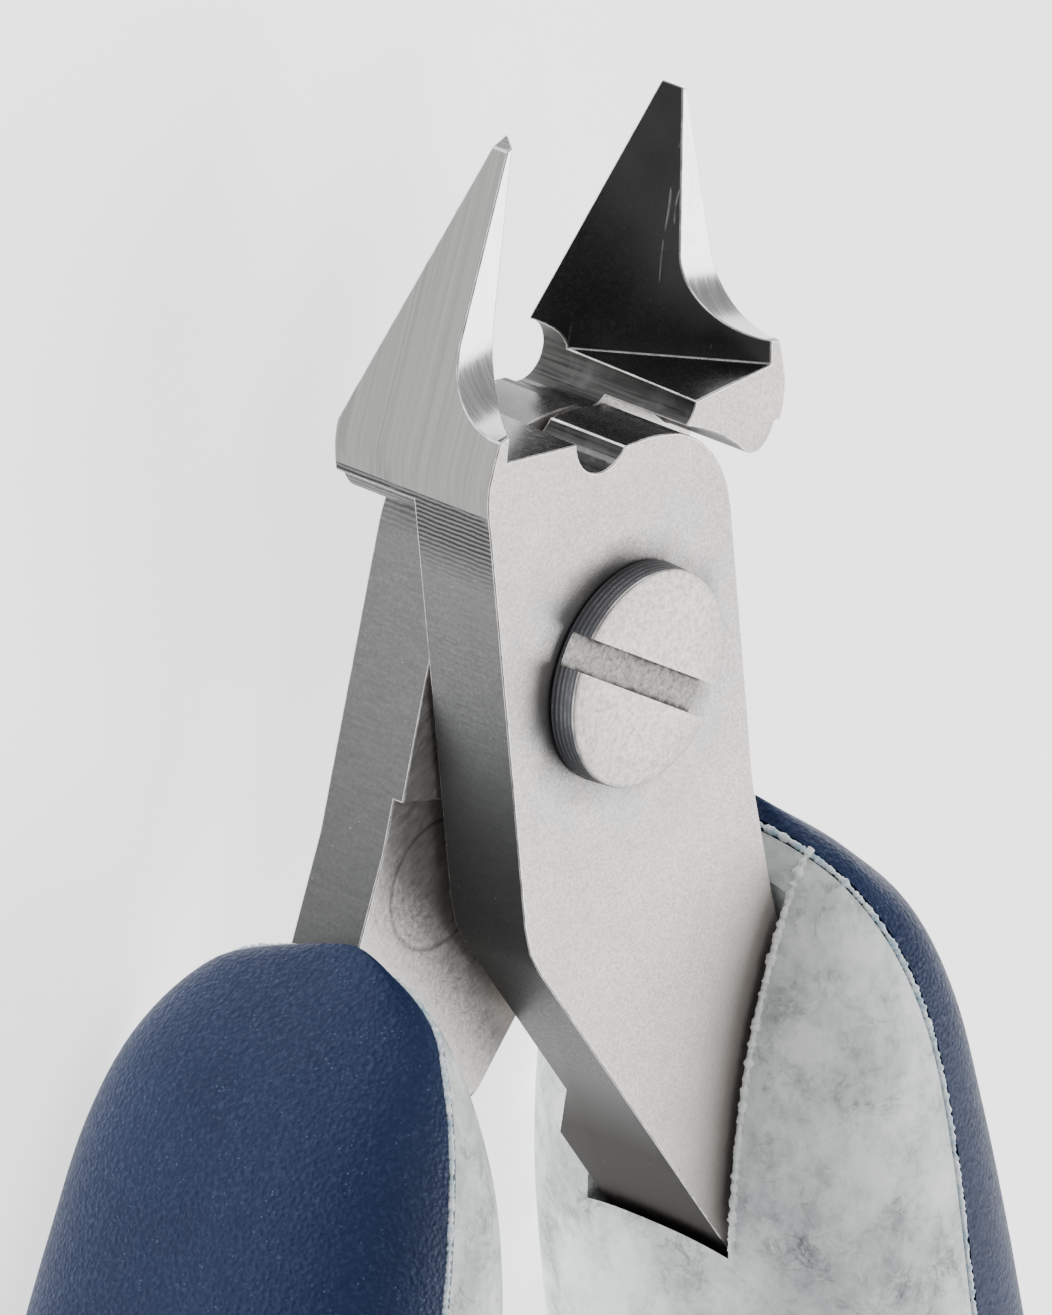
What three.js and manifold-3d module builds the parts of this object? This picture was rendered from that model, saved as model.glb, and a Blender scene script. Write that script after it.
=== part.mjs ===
// Flush cutter with a lap joint, a return spring and bowed two-part handles.
//
// Millimetres. +Y runs to the jaw tips, +X to the right seen from the screw head,
// +Z up through the screw head. The pivot axis is the Z axis, and the rear face of
// the joint is at z = 0. The tool is shown open, as its spring leaves it.
//
// Each half is drawn in its own closed frame, where its cutting edge lies on the
// centre plane. The front half has its jaw on the left and its tang on the right.
// The rear half is drawn the same way round and then mirrored.

import * as THREE from 'three';
import { mergeVertices } from 'three/addons/utils/BufferGeometryUtils.js';
import Module from 'manifold-3d';

const wasm = await Module();
wasm.setup();

// ---- Driving dimensions ----

const HALF_OPEN = THREE.MathUtils.degToRad(11.2); // each half's turn from closed
const HEAD_THICK = 6;
const HEAD_HALF_WIDTH = 5.1;
const FIT_GAP = 0.3;

// lap joint
const FRONT_PLATE_BACK = 3.05;
const REAR_PLATE_FRONT = 2.85;
const REAR_PLATE_RECESS = 0.35;
const RECESS_Y = -4.7;
const PLATE_RADIUS = 7.2;
const LAP_RADIUS = 7.4;

// jaws: the cutting edge climbs from the heel on the rear face to the tip
const EDGE_OFFSET = 0.05;
const HEEL_Y = 8.9;
const TIP_Y = 17.13;
const TIP_Z = 3.2;
const TIP_SIDE = [0.66, 16.95];
const RIDGE = [4.9, 8.75];
const EDGE_SLOPE = TIP_Z / (TIP_Y - HEEL_Y);
const BEVEL_SLOPE = 0.69; // outward run of the bevel for each unit of height
const CAVITY_FLOOR = [0.74, 8.25];
const CAVITY_FLOOR_SLOPE = 0.29;
const SCOOP_Y = 11.9;
const SCOOP_Z = 3.73;
const SCOOP_RADIUS = 2.1;
const THROAT_Y = 8;
const THROAT_RADIUS_FRONT_HALF = 1.2;
const THROAT_RADIUS_REAR_HALF = 0.95;

// pivot screw
const SHANK_RADIUS = 1.9;
const SCREW_HEAD_RADIUS = 3.4;
const SCREW_HEAD_HEIGHT = 1;
const SCREW_HEAD_CHAMFER = 0.12;
const SCREW_SLOT_WIDTH = 1.04;
const SCREW_SLOT_DEPTH = 0.75;
const SCREW_SLOT_ANGLE = THREE.MathUtils.degToRad(-28);
const SEAT_GAP = 0.05;

// tang: the crotch edge runs from the plate's lower left corner to its last point,
// and the rest of the outline lies inside the handle
const CROTCH = [[-5.1, -6.3], [-4.98, -7.3], [-4.65, -8.1], [2.63, -22.01]];
const TANG_INNER = [[3.9, -26], [4.2, -34], [5.4, -43.5]];
const TANG_OUTER = [[7.6, -43.5], [6.9, -34], [6.9, -25], [6.8, -20], [6.2, -14.7], [5.55, -10.5]];
const TANG_CUT_BACK = 1.07; // each tang is this much thinner than the head

// slanted step where the front half's tang thickens behind its plate
const STEP_START = [-0.97, -15.14, 3.05];
const STEP_NORMAL = [1.12, -1.98, 4.01];

// where the rear half's tang thickens, hidden by the core
const REAR_STEP_Y = -24;
const REAR_STEP_SLANT = 0.29;

// handle stations: [y, inner side, outer side, front, back]
const HANDLE_STATIONS = [
  [-8.6, 6.85, 7.45, 5.6, 2], [-10.2, 5.8, 8.75, 7.3, -0.8], [-12.5, 4.45, 10.55, 8.85, -2.5],
  [-15.5, 3.15, 11.65, 9.85, -3.5], [-19.5, 2.1, 12.35, 10.4, -3.95],
  [-24, 1.55, 13.05, 10.65, -4.1], [-31, 1.6, 13.9, 10.85, -4], [-44, 3.6, 16.2, 11, -4],
  [-58, 6, 18.8, 11, -4.1], [-75, 7, 20.2, 11, -4.1], [-98, 5.6, 18.6, 10.6, -4],
  [-112, 3.8, 16, 9.8, -3.9], [-121, 4, 13, 8.2, -2.6], [-124.5, 6.4, 10.6, 5.6, 0.6],
];
const HANDLE_RINGS = 36;
const HANDLE_SIDES = 28;
const HANDLE_SQUARENESS = 2.5;
const REST_FLAT_Z = -3.6;

// line between the hard core and the soft grip
const GRIP_LINE = [
  [6.3, -8], [6.6, -9], [6.85, -9.7], [7.45, -11.5], [7.85, -14], [8, -17], [8, -24],
  [8.1, -30], [8.8, -38], [11.2, -48], [12.2, -58], [12.4, -75], [11.2, -98], [10, -110],
  [12, -118], [18, -122.5],
];
const GRIP_LINE_STEPS = 48;

// return spring: two arms, each with its own turns of one coil
const WIRE_RADIUS = 0.55;
const COIL_RADIUS = 3;
const COIL_TURNS = 1.75;
const COIL_PITCH = 1.25;
const ARM_LENGTH = 21.5;
const ARM_HEIGHT = 0.7; // each arm's distance from the middle of the thickness
const EYE_RADIUS = 1.7;
const EYE_ARC = THREE.MathUtils.degToRad(260);
const SPRING_SEAT = [7.9, -50];
const PIN_RADIUS = 0.85;
const PIN_ENDS = [-3.1, 10.1];
const POCKET_RADIUS = 2.6;
const POCKET_HALF_HEIGHT = 1.7;

const MID_Z = HEAD_THICK / 2;
const FAR = 400;

// ---- Materials ----

function finish(color, roughness, metalness) {
  return new THREE.MeshStandardMaterial({ color, roughness, metalness, flatShading: true });
}

const forgedSteel = finish(0xb9b5a6, 0.45, 0.9);
const darkSteel = finish(0x8d8f92, 0.3, 1);
const springSteel = finish(0x9a9ca0, 0.3, 1);
const greyPlastic = finish(0xb4b6b8, 0.55, 0);
const bluePlastic = finish(0x1a2e55, 0.8, 0);

// ---- Solids ----

function solid(geometry) {
  const bare = geometry.clone();
  bare.deleteAttribute('normal');
  bare.deleteAttribute('uv');
  const merged = mergeVertices(bare, 1e-5);
  return new wasm.Manifold(new wasm.Mesh({
    numProp: 3,
    vertProperties: new Float32Array(merged.attributes.position.array),
    triVerts: new Uint32Array(merged.index.array),
  }));
}

function geometryOf(body) {
  const result = body.getMesh();
  const geometry = new THREE.BufferGeometry();
  geometry.setAttribute('position', new THREE.BufferAttribute(result.vertProperties, 3));
  geometry.setIndex(new THREE.BufferAttribute(result.triVerts, 1));
  geometry.computeVertexNormals();
  return geometry;
}

// The same solid with left and right exchanged, its faces still pointing out.
function mirrored(geometry) {
  const copy = geometry.clone();
  copy.scale(-1, 1, 1);
  const index = copy.index.array;
  for (let i = 0; i < index.length; i += 3) {
    [index[i], index[i + 1]] = [index[i + 1], index[i]];
  }
  copy.computeVertexNormals();
  return copy;
}

function prism(shape, low, high, curveSegments = 24) {
  const geometry = new THREE.ExtrudeGeometry(shape, {
    depth: high - low, bevelEnabled: false, curveSegments,
  });
  return solid(geometry.translate(0, 0, low));
}

function polygon(points) {
  return new THREE.Shape(points.map(([x, y]) => new THREE.Vector2(x, y)));
}

function cylinder(radius, low, high, x = 0, y = 0, sides = 40) {
  const geometry = new THREE.CylinderGeometry(radius, radius, high - low, sides);
  geometry.rotateX(Math.PI / 2);
  return solid(geometry.translate(x, y, (low + high) / 2));
}

// Everything on the side of a plane that its normal points to, the plane first
// moved by `shift` along the normal.
function beyond(point, normal, shift = 0) {
  const box = new THREE.BoxGeometry(FAR, FAR, FAR).translate(0, 0, FAR / 2 + shift);
  const turn = new THREE.Quaternion().setFromUnitVectors(
    new THREE.Vector3(0, 0, 1), new THREE.Vector3(...normal).normalize());
  return solid(box.applyQuaternion(turn).translate(...point));
}

// ---- Forged halves ----

// Outline of a half, jaw to the left and tang to the right.
function halfOutline() {
  const w = HEAD_HALF_WIDTH;
  const shoulderX = 3.2;
  const shoulderY = Math.sqrt(PLATE_RADIUS ** 2 - shoulderX ** 2);
  const shape = new THREE.Shape();
  shape.moveTo(-EDGE_OFFSET, TIP_Y);
  shape.lineTo(-TIP_SIDE[0], TIP_SIDE[1]);
  shape.lineTo(-RIDGE[0], RIDGE[1]);
  shape.quadraticCurveTo(-w - 0.05, 8.2, -w, 7.2);
  for (const [x, y] of [...CROTCH, ...TANG_INNER, ...TANG_OUTER]) shape.lineTo(x, y);
  shape.lineTo(w, -6.4);
  shape.lineTo(w, 2.9);
  shape.quadraticCurveTo(w, 5.2, shoulderX, shoulderY);
  shape.absarc(0, 0, PLATE_RADIUS, Math.atan2(shoulderY, shoulderX),
    Math.PI / 2 + Math.asin(EDGE_OFFSET / PLATE_RADIUS), false);
  return shape;
}

// Space that the other half's plate swings in: below the lap arc, with a rounded
// corner at the jaw's outer side.
function lapOutline() {
  const jawX = -3.65;
  const jawY = Math.sqrt(LAP_RADIUS ** 2 - jawX ** 2);
  const side = 12;
  const shape = new THREE.Shape();
  shape.moveTo(-side, 7.3);
  shape.lineTo(-side, -60);
  shape.lineTo(side, -60);
  shape.lineTo(side, 0);
  shape.lineTo(LAP_RADIUS, 0);
  shape.absarc(0, 0, LAP_RADIUS, 0, Math.atan2(jawY, jawX), false);
  shape.quadraticCurveTo(-4.6, 6.05, -4.85, 7.3);
  return shape;
}

function cutJaw(blank, throatRadius) {
  const flushBack = beyond([0, HEEL_Y, 0], [0, EDGE_SLOPE, -1]);
  const bevel = beyond([-EDGE_OFFSET, HEEL_Y, 0], [1, -BEVEL_SLOPE * EDGE_SLOPE, BEVEL_SLOPE]);
  const aboveFloor = beyond([-CAVITY_FLOOR[0], CAVITY_FLOOR[1], 0], [CAVITY_FLOOR_SLOPE, 1, 0.03]);
  const scoopEnd = SCOOP_Z + SCOOP_RADIUS;
  const profile = new THREE.Shape();
  profile.moveTo(TIP_Y + 2, SCOOP_Z);
  profile.lineTo(TIP_Y + 2, HEAD_THICK + 1);
  profile.lineTo(SCOOP_Y - SCOOP_RADIUS, HEAD_THICK + 1);
  profile.lineTo(SCOOP_Y - SCOOP_RADIUS, scoopEnd);
  profile.absarc(SCOOP_Y, scoopEnd, SCOOP_RADIUS, Math.PI, 1.5 * Math.PI, false);
  const scoop = new THREE.ExtrudeGeometry(profile, {
    depth: 16, bevelEnabled: false, curveSegments: 12,
  });
  // the profile's own axes become Y and Z, and its depth becomes X
  scoop.applyMatrix4(new THREE.Matrix4().makeBasis(
    new THREE.Vector3(0, 1, 0), new THREE.Vector3(0, 0, 1), new THREE.Vector3(1, 0, 0)));
  scoop.translate(-8, 0, 0);
  return blank
    .subtract(flushBack)
    .subtract(bevel.intersect(aboveFloor))
    .subtract(solid(scoop))
    .subtract(cylinder(throatRadius, -1, HEAD_THICK + 1, 0, THROAT_Y, 32));
}

// Where the front half's tang thickens behind its plate.
function frontStep(shift = 0) {
  return beyond(STEP_START, STEP_NORMAL, shift);
}

function frontHalf() {
  const lap = prism(lapOutline(), -1, FRONT_PLATE_BACK).subtract(frontStep());
  return cutJaw(prism(halfOutline(), 0, HEAD_THICK), THROAT_RADIUS_FRONT_HALF)
    .subtract(lap)
    .subtract(prism(lapOutline(), -1, TANG_CUT_BACK))
    .subtract(cylinder(SHANK_RADIUS + FIT_GAP, -1, HEAD_THICK + 1));
}

// The far side of the front half's crotch edge, as the rear half meets it when the
// tool is closed.
function beyondFrontCrotch(shift) {
  const [[x0, y0], [x1, y1]] = CROTCH.slice(-2);
  const length = Math.hypot(x1 - x0, y1 - y0);
  return beyond([-x0, y0, 0], [(y0 - y1) / length, (x0 - x1) / length, 0], shift);
}

// Where the rear half's tang thickens inside its handle.
function rearStep(shift) {
  return beyond([0, REAR_STEP_Y, REAR_PLATE_FRONT], [0, -1, -REAR_STEP_SLANT], shift);
}

// Room for the front half's tang behind the rear half's plate when the tool is closed.
function frontTangRoom() {
  const [x, y, z] = STEP_START;
  const [nx, ny, nz] = STEP_NORMAL;
  return beyond([-x, y, z], [-nx, ny, nz], -FIT_GAP).subtract(beyondFrontCrotch(FIT_GAP));
}

function rearHalf() {
  const lap = prism(lapOutline(), REAR_PLATE_FRONT, HEAD_THICK + 1).subtract(rearStep(FIT_GAP));
  const recess = prism(lapOutline(), REAR_PLATE_FRONT - REAR_PLATE_RECESS, REAR_PLATE_FRONT + 0.1)
    .subtract(rearStep(FIT_GAP))
    .subtract(beyond([0, RECESS_Y, 0], [0, 1, 0]));
  return cutJaw(prism(halfOutline(), 0, HEAD_THICK), THROAT_RADIUS_REAR_HALF)
    .subtract(lap)
    .subtract(recess)
    .subtract(prism(lapOutline(), HEAD_THICK - TANG_CUT_BACK, HEAD_THICK + 1))
    .subtract(frontTangRoom())
    .subtract(cylinder(SHANK_RADIUS + FIT_GAP, -1, HEAD_THICK + 1));
}

// ---- Pivot screw ----

function pivotScrew() {
  const under = HEAD_THICK + SEAT_GAP;
  const top = HEAD_THICK + SCREW_HEAD_HEIGHT;
  const profile = [
    [0, 0], [SHANK_RADIUS, 0], [SHANK_RADIUS, under], [SCREW_HEAD_RADIUS, under],
    [SCREW_HEAD_RADIUS - 0.05, top - SCREW_HEAD_CHAMFER],
    [SCREW_HEAD_RADIUS - 0.05 - SCREW_HEAD_CHAMFER, top], [0, top],
  ].map(([x, y]) => new THREE.Vector2(x, y));
  const body = new THREE.LatheGeometry(profile, 48).rotateX(Math.PI / 2);
  const slot = new THREE.BoxGeometry(3 * SCREW_HEAD_RADIUS, SCREW_SLOT_WIDTH, 2);
  slot.translate(0, 0, top - SCREW_SLOT_DEPTH + 1);
  slot.rotateZ(SCREW_SLOT_ANGLE + HALF_OPEN);
  return solid(body).subtract(solid(slot));
}

// ---- Handles ----

// Smooth value of one column of the stations at a given y.
function stationValue(y, column) {
  const rows = HANDLE_STATIONS;
  let i = 0;
  while (i < rows.length - 2 && y < rows[i + 1][0]) i += 1;
  const slope = (k) => {
    const a = rows[Math.max(k - 1, 0)];
    const b = rows[Math.min(k + 1, rows.length - 1)];
    return (b[column] - a[column]) / (b[0] - a[0]);
  };
  const [a, b] = [rows[i], rows[i + 1]];
  const span = b[0] - a[0];
  const t = (y - a[0]) / span;
  const h = t * t * (3 - 2 * t);
  const rise = span * (t * (1 - t) ** 2 * slope(i) - t * t * (1 - t) * slope(i + 1));
  return a[column] + (b[column] - a[column]) * h + rise;
}

function signedPower(value, exponent) {
  return Math.sign(value) * Math.abs(value) ** exponent;
}

// Whole handle, core and grip together, with a flat land underneath to rest on.
function handleBody() {
  const first = HANDLE_STATIONS[0][0];
  const last = HANDLE_STATIONS.at(-1)[0];
  const vertices = [];
  const triangles = [];
  for (let ring = 0; ring <= HANDLE_RINGS; ring += 1) {
    const y = THREE.MathUtils.lerp(first, last, (1 - Math.cos(Math.PI * ring / HANDLE_RINGS)) / 2);
    const [inner, outer, front, back] = [1, 2, 3, 4].map((column) => stationValue(y, column));
    for (let i = 0; i < HANDLE_SIDES; i += 1) {
      const angle = (2 * Math.PI * i) / HANDLE_SIDES;
      const power = 2 / HANDLE_SQUARENESS;
      vertices.push(
        (inner + outer) / 2 + ((outer - inner) / 2) * signedPower(Math.cos(angle), power),
        y,
        (front + back) / 2 + ((front - back) / 2) * signedPower(Math.sin(angle), power));
    }
  }
  const at = (ring, i) => ring * HANDLE_SIDES + (i % HANDLE_SIDES);
  for (let ring = 0; ring < HANDLE_RINGS; ring += 1) {
    for (let i = 0; i < HANDLE_SIDES; i += 1) {
      triangles.push(at(ring, i), at(ring, i + 1), at(ring + 1, i));
      triangles.push(at(ring, i + 1), at(ring + 1, i + 1), at(ring + 1, i));
    }
  }
  for (let i = 1; i < HANDLE_SIDES - 1; i += 1) {
    triangles.push(at(0, 0), at(0, i + 1), at(0, i));
    triangles.push(at(HANDLE_RINGS, 0), at(HANDLE_RINGS, i), at(HANDLE_RINGS, i + 1));
  }
  const geometry = new THREE.BufferGeometry();
  geometry.setAttribute('position', new THREE.Float32BufferAttribute(vertices, 3));
  geometry.setIndex(triangles);
  return solid(geometry).subtract(beyond([0, 0, REST_FLAT_Z], [0, 0, -1]));
}

// Everything on the outer side of the grip line, moved outward by `offset`.
function gripRegion(offset) {
  const curve = new THREE.SplineCurve(GRIP_LINE.map(([x, y]) => new THREE.Vector2(x + offset, y)));
  const line = curve.getPoints(GRIP_LINE_STEPS);
  const shape = new THREE.Shape([
    ...line, new THREE.Vector2(40, -121), new THREE.Vector2(40, 0),
    new THREE.Vector2(GRIP_LINE[0][0] + offset, 0),
  ]);
  return prism(shape, -10, 20);
}

// Slot in the core that the plate and the tang fill, open on the crotch side. The
// tang's extra thickness starts at `step`.
function tangPocket(plate, tang, step) {
  const inner = TANG_INNER.map(([x, y]) => [x - FIT_GAP, y]);
  const outer = TANG_OUTER.map(([x, y]) => [x + FIT_GAP, y]);
  inner.at(-1)[1] -= FIT_GAP;
  outer[0][1] -= FIT_GAP;
  const [crotchX, crotchY] = CROTCH.at(-1);
  const side = HEAD_HALF_WIDTH + FIT_GAP;
  const shape = polygon([
    [-8, -3], [-8, -20.6], [crotchX - 1.08, -20.6], [crotchX - FIT_GAP, crotchY - 0.2],
    ...inner, ...outer, [side, -6.2], [side, -3],
  ]);
  return prism(shape, plate[0] - FIT_GAP, plate[1] + FIT_GAP)
    .add(prism(shape, tang[0] - FIT_GAP, tang[1] + FIT_GAP).intersect(step));
}

// Spring geometry in the tool's own frame: where a pin lies when the tool is open
// by `halfAngle`, and how far the right arm leans from the centre line.
function springPose(halfAngle) {
  const [x, y] = SPRING_SEAT;
  const seatX = x * Math.cos(halfAngle) - y * Math.sin(halfAngle);
  const seatY = x * Math.sin(halfAngle) + y * Math.cos(halfAngle);
  return { seatX, seatY, lean: Math.asin(seatX / ARM_LENGTH) };
}

// Pocket for the arm's eye, widened along the arm's swing, with a hole for the pin.
function springPocket() {
  const [x, y] = SPRING_SEAT;
  const reach = 16;
  const towards = (angle, distance, from = [x, y]) => (
    [from[0] + distance * Math.cos(angle), from[1] + distance * Math.sin(angle)]);
  const openArm = -Math.PI / 2 - springPose(HALF_OPEN).lean - HALF_OPEN;
  const closedArm = -Math.PI / 2 - springPose(0).lean;
  const upper = towards(openArm - Math.PI / 2, POCKET_RADIUS);
  const lower = towards(closedArm + Math.PI / 2, 1.2);
  const low = MID_Z - POCKET_HALF_HEIGHT;
  const high = MID_Z + POCKET_HALF_HEIGHT;
  const swing = prism(polygon([
    upper, towards(openArm, reach, upper), towards(closedArm, reach, lower), lower,
  ]), low, high);
  return swing
    .add(cylinder(POCKET_RADIUS, low, high, x, y, 24))
    .add(cylinder(PIN_RADIUS + FIT_GAP, -10, 20, x, y, 20));
}

const wholeHandle = handleBody();

function handleCore(plate, tang, step) {
  return wholeHandle
    .subtract(gripRegion(-FIT_GAP / 2))
    .subtract(tangPocket(plate, tang, step))
    .subtract(springPocket());
}

function handleGrip() {
  return wholeHandle.intersect(gripRegion(FIT_GAP / 2));
}

// ---- Return spring ----

// One arm in the open tool: an eye round the pin, a straight run, and its turns of
// the coil, stacked away from the other arm's turns. `side` is 1 right, -1 left.
function springArm(side) {
  const { seatX, seatY, lean } = springPose(HALF_OPEN);
  const along = new THREE.Vector2(-Math.sin(lean), -Math.cos(lean));
  const across = new THREE.Vector2(along.y, -along.x);
  const points = [];
  const place = (u, v, rise) => points.push(new THREE.Vector3(
    side * (seatX + along.x * u + across.x * v),
    seatY + along.y * u + across.y * v,
    MID_Z + side * (ARM_HEIGHT + rise)));
  const eyeSteps = 14;
  for (let i = 0; i < eyeSteps; i += 1) {
    const angle = Math.PI / 2 + EYE_ARC * (1 - i / eyeSteps);
    place(EYE_RADIUS * Math.cos(angle), EYE_RADIUS * Math.sin(angle), 0);
  }
  const straightSteps = 5;
  for (let i = 0; i < straightSteps; i += 1) {
    const t = i / straightSteps;
    place(ARM_LENGTH * t, THREE.MathUtils.lerp(EYE_RADIUS, COIL_RADIUS, t), 0);
  }
  const coilSteps = 36;
  for (let i = 0; i <= coilSteps; i += 1) {
    const turn = (COIL_TURNS * i) / coilSteps;
    const angle = Math.PI / 2 - 2 * Math.PI * turn;
    place(ARM_LENGTH + COIL_RADIUS * Math.cos(angle), COIL_RADIUS * Math.sin(angle),
      COIL_PITCH * turn);
  }
  const section = new THREE.Shape().absarc(0, 0, WIRE_RADIUS, 0, 2 * Math.PI, false);
  const path = new THREE.CatmullRomCurve3(points, false, 'centripetal');
  return solid(new THREE.ExtrudeGeometry(section, {
    steps: 90, curveSegments: 4, bevelEnabled: false, extrudePath: path,
  }));
}

function springPin() {
  return cylinder(PIN_RADIUS, ...PIN_ENDS, ...SPRING_SEAT, 20);
}

// ---- Assembly ----

function named(name, geometry, material) {
  const mesh = new THREE.Mesh(geometry, material);
  mesh.name = name;
  return mesh;
}

const rightCore = handleCore(
  [FRONT_PLATE_BACK, HEAD_THICK], [TANG_CUT_BACK, HEAD_THICK], frontStep(-FIT_GAP));
const leftCore = handleCore([0, REAR_PLATE_FRONT], [0, HEAD_THICK - TANG_CUT_BACK], rearStep(0));
const grip = geometryOf(handleGrip());
const pin = geometryOf(springPin());

const frontGroup = new THREE.Group();
frontGroup.rotation.z = HALF_OPEN;
frontGroup.add(
  named('front_half', geometryOf(frontHalf()), forgedSteel),
  named('right_handle_core', geometryOf(rightCore), greyPlastic),
  named('right_handle_grip', grip, bluePlastic),
  named('right_spring_pin', pin, darkSteel),
);

const rearGroup = new THREE.Group();
rearGroup.rotation.z = -HALF_OPEN;
rearGroup.add(
  named('rear_half', mirrored(geometryOf(rearHalf())), forgedSteel),
  named('pivot_screw', geometryOf(pivotScrew()), darkSteel),
  named('left_handle_core', mirrored(geometryOf(leftCore)), greyPlastic),
  named('left_handle_grip', mirrored(grip), bluePlastic),
  named('left_spring_pin', mirrored(pin), darkSteel),
);

const cutter = new THREE.Group();
cutter.add(
  frontGroup,
  rearGroup,
  named('right_spring_arm', geometryOf(springArm(1)), springSteel),
  named('left_spring_arm', geometryOf(springArm(-1)), springSteel),
);

export default cutter;
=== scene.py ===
"""Looks for a flush cutter: ground and blasted steel, two-part moulded handles, a wire return spring."""

from math import asin, atan2, cos, pi, radians, sin

import bmesh
import bpy
import numpy as np
from mathutils import Matrix, Vector


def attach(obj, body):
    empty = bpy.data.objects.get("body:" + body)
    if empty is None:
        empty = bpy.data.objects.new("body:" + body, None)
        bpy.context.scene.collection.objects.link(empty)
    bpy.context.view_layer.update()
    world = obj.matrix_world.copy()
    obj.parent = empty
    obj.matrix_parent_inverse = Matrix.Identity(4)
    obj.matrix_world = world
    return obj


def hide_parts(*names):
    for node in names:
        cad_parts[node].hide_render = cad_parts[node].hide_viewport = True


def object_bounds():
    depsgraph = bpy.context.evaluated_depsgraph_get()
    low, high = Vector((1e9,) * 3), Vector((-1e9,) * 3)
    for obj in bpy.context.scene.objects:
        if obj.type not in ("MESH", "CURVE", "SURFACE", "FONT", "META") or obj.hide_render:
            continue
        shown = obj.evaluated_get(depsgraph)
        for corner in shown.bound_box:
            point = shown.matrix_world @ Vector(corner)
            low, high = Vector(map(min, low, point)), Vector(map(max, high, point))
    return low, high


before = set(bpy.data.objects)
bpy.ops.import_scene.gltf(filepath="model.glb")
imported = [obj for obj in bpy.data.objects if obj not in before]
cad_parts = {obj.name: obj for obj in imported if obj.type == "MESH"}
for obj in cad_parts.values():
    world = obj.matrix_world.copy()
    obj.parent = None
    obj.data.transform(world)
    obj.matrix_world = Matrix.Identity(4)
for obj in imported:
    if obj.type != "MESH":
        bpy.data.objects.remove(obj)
cad_low, cad_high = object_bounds()

# ---- Sizes, in millimetres in each half's own closed position: jaw left, handle right ----

MM = 0.001
HALF_OPEN = radians(11.2)
MID_Z = 3.0
FIT_GAP = 0.3
HEAD_HALF_WIDTH = 5.1
BEVEL_NORMAL = Vector((1, -0.2682, 0.69)).normalized()
CAVITY_NORMAL = Vector((0.29, 1, 0.03)).normalized()
JAW_GRIND_TURN = atan2(8.2, 4.24)  # lean of the jaw's outer edge: its rise and run

# where each kind of steel face lies
SAME_DIRECTION = 0.985
SCOOP_START = (9.6, 3.6)  # y and z
TIP_FACET_Y = 16.7
JAW_START = (-0.55, 7.6)  # x and y
FRONT_FACE_Z = 5.5
PIVOT_HOLE_REACH = 3
LAP_WALL_REACH = (6.9, 9.5)
LAP_WALL_LEFT = -3.9
CHAMFER = 0.05
SHARP_STEEL = radians(28)
FLAT_STEEL = radians(0.6)
WELD = 1e-6  # metres

CROTCH_END = (2.63, -22.01)
TANG_INNER = ((3.9, -26), (4.2, -34), (5.4, -43.5))
TANG_OUTER = ((7.6, -43.5), (6.9, -34), (6.9, -25), (6.8, -20), (6.2, -14.7), (5.55, -10.5))
# each core's slot for the steel, open towards the crotch down to its mouth
TANG_SLOT_TOP = -3
TANG_SLOT_SIDE = -8
TANG_SLOT_SHOULDER = -6.2
TANG_SLOT_MOUTH = -20.6
TANG_SLOT_MOUTH_INSET = 1.08
BELOW_CROTCH = 0.2
# planes where the tangs thicken, then the back and front faces of each plate and tang
STEP_START = Vector((-0.97, -15.14, 3.05))
STEP_NORMAL = Vector((1.12, -1.98, 4.01)).normalized()
REAR_STEP_Y = -24
REAR_STEP_SLANT = 0.29
FRONT_PLATE = (3.05, 6.0)
FRONT_TANG = (1.07, 6.0)
REAR_PLATE = (0.0, 2.85)
REAR_TANG = (0.0, 4.93)

# handle stations: y, inner side, outer side, front, back
HANDLE_STATIONS = np.array([
    (-8.6, 6.85, 7.45, 5.6, 2), (-10.2, 5.8, 8.75, 7.3, -0.8), (-12.5, 4.45, 10.55, 8.85, -2.5),
    (-15.5, 3.15, 11.65, 9.85, -3.5), (-19.5, 2.1, 12.35, 10.4, -3.95),
    (-24, 1.55, 13.05, 10.65, -4.1), (-31, 1.6, 13.9, 10.85, -4), (-44, 3.6, 16.2, 11, -4),
    (-58, 6, 18.8, 11, -4.1), (-75, 7, 20.2, 11, -4.1), (-98, 5.6, 18.6, 10.6, -4),
    (-112, 3.8, 16, 9.8, -3.9), (-121, 4, 13, 8.2, -2.6), (-124.5, 6.4, 10.6, 5.6, 0.6)])
HANDLE_RINGS = 168
HANDLE_SIDES = 112
SQUARENESS = 2.5
END_ROUNDING = 1.9  # how far from each end the section starts to close
END_LEFT = 0.003  # square of the share of the section left at the very end
SKIN = 0.015  # how far the surface is drawn in, so that it stays inside the CAD's box
REST_FLAT_Z = -3.6
# the seam between core and grip, from the top of the handle to its foot
GRIP_LINE = np.array([
    (6.3, -8), (6.6, -9), (6.85, -9.7), (7.45, -11.5), (7.85, -14), (8, -17), (8, -24),
    (8.1, -30), (8.8, -38), (11.2, -48), (12.2, -58), (12.4, -75), (11.2, -98), (10, -110),
    (12, -118), (18, -122.5)])
GRIP_STEPS = 240
GRIP_FOOT_Y = -121
# limits past everything, for cutters: back, front and outward
BEHIND, BEFORE, OUTWARD = -10, 20, 40

# flash along the seam, and along the lip where the core meets the steel
SEAM_FLASH = {"radius": 0.10, "sides": 8, "ripple": 2.4, "ripple_size": 0.16}
SEAM_STEPS = 1500
SEAM_SINK = 0.05
SEAM_TOP_Z = 10.78
SEAM_BOTTOM_Z = REST_FLAT_Z + 0.22
LIP_FLASH = {"radius": 0.12, "sides": 8, "ripple": 2.6, "ripple_size": 0.18}
LIP_STEPS = 260
LIP_ENDS = (-9.4, -21.3)
LIP_SINK = 0.04
LIP_RISE = 0.1

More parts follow.
